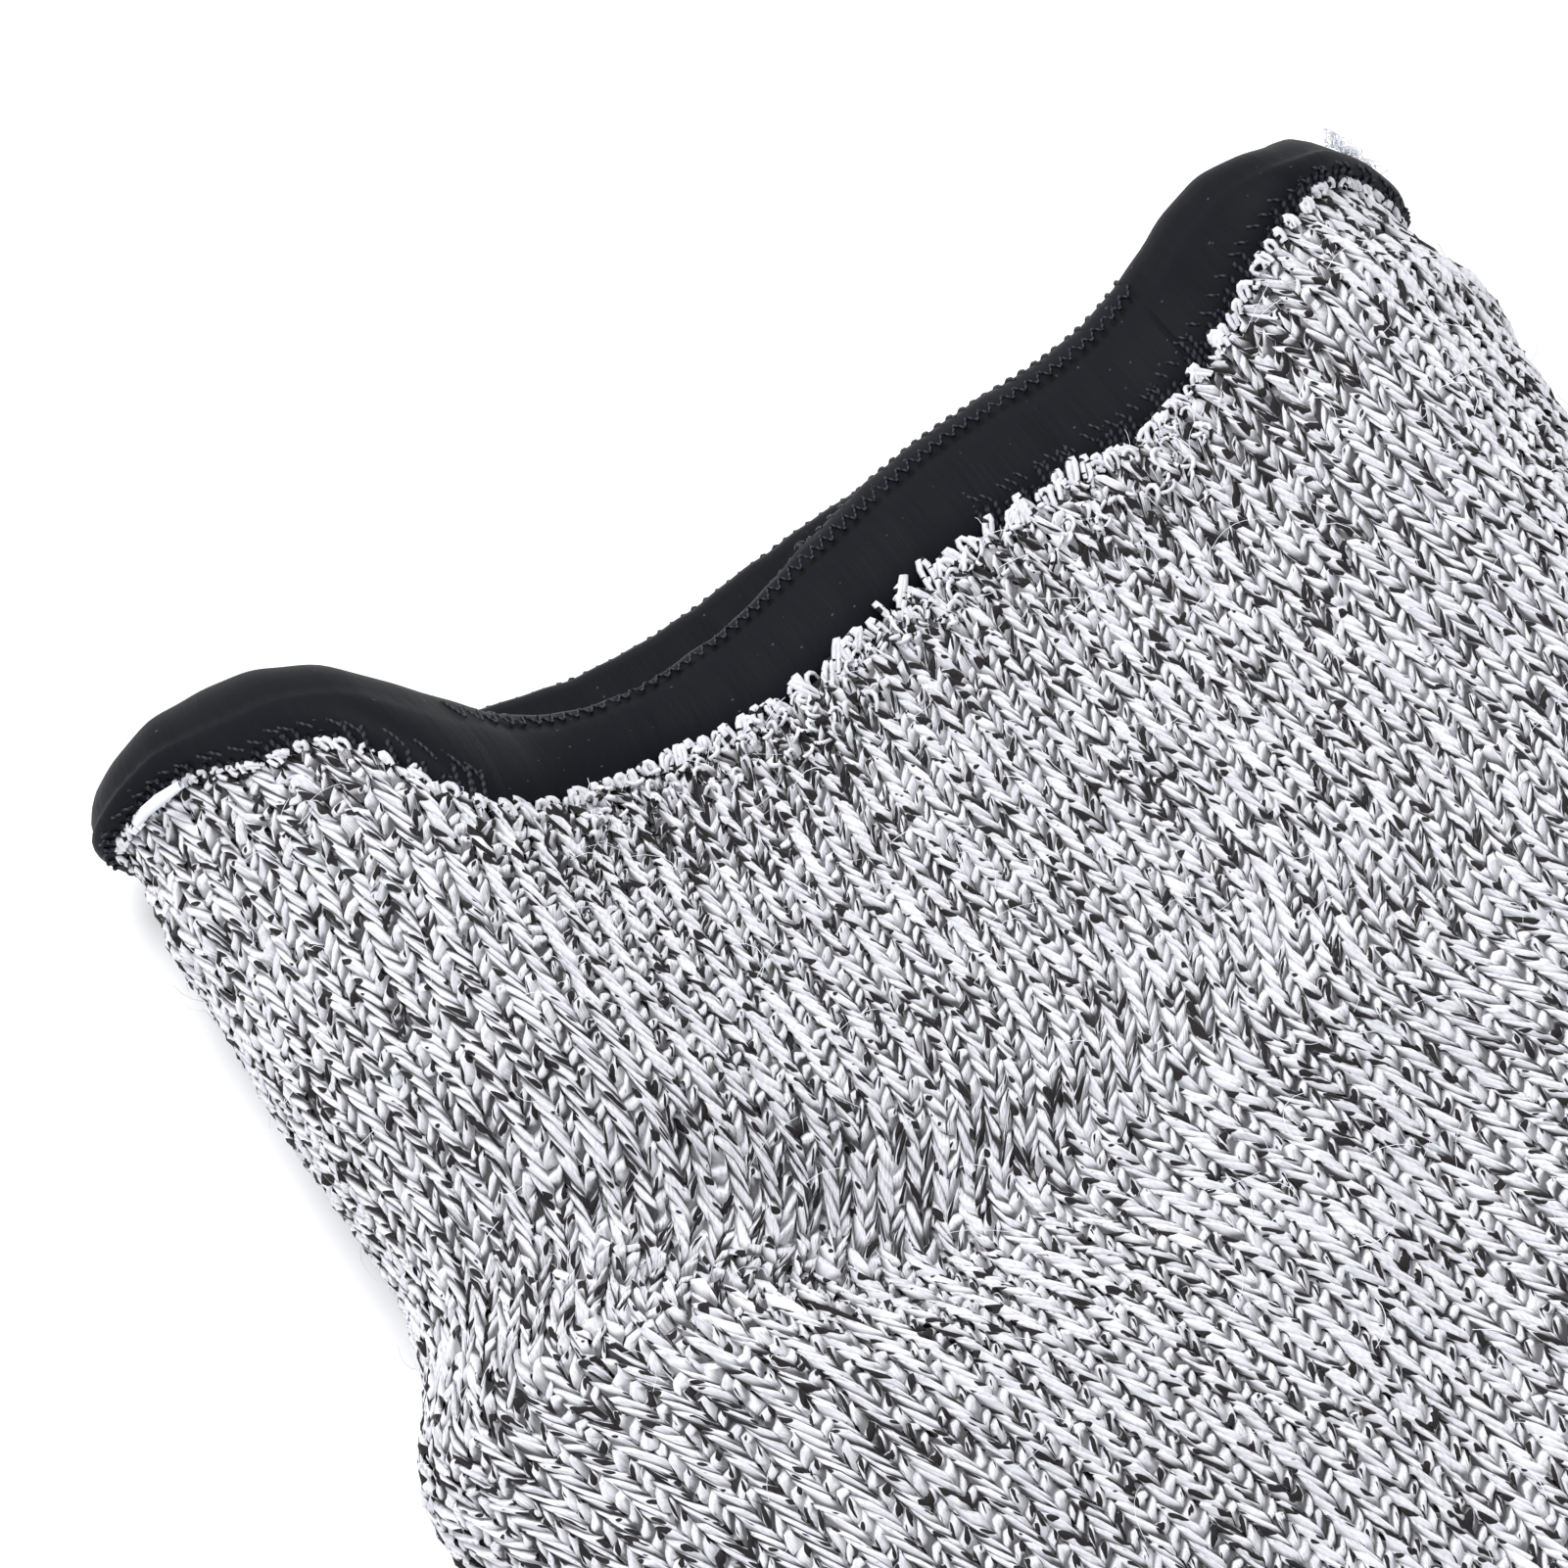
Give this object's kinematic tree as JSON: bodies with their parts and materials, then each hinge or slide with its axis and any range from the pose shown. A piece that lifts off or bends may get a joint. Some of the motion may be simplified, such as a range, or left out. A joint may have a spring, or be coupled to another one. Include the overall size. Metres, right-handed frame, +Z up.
{
  "type": "cut resistant sleeve",
  "caption": "Knitted forearm sleeve, an open tube that widens from wrist to upper arm, lying flat and empty, with a dark stretch binding folded over each edge.",
  "frame": {"origin": "middle of the face that the sleeve rests on, under the centre of its outline", "axes": "+X along the sleeve from the wrist edge to the upper arm, +Y across it, +Z up from the table"},
  "size_m": [0.357, 0.1272, 0.0278],
  "materials": {
    "marled_knit": "plain jersey knit of white yarn marled with black",
    "stretch_binding": "soft satin black knitted elastic"
  },
  "bodies": {
    "root": {"knit_tube": "marled_knit", "wrist_binding": "stretch_binding", "upper_binding": "stretch_binding"}
  },
  "joints": []
}
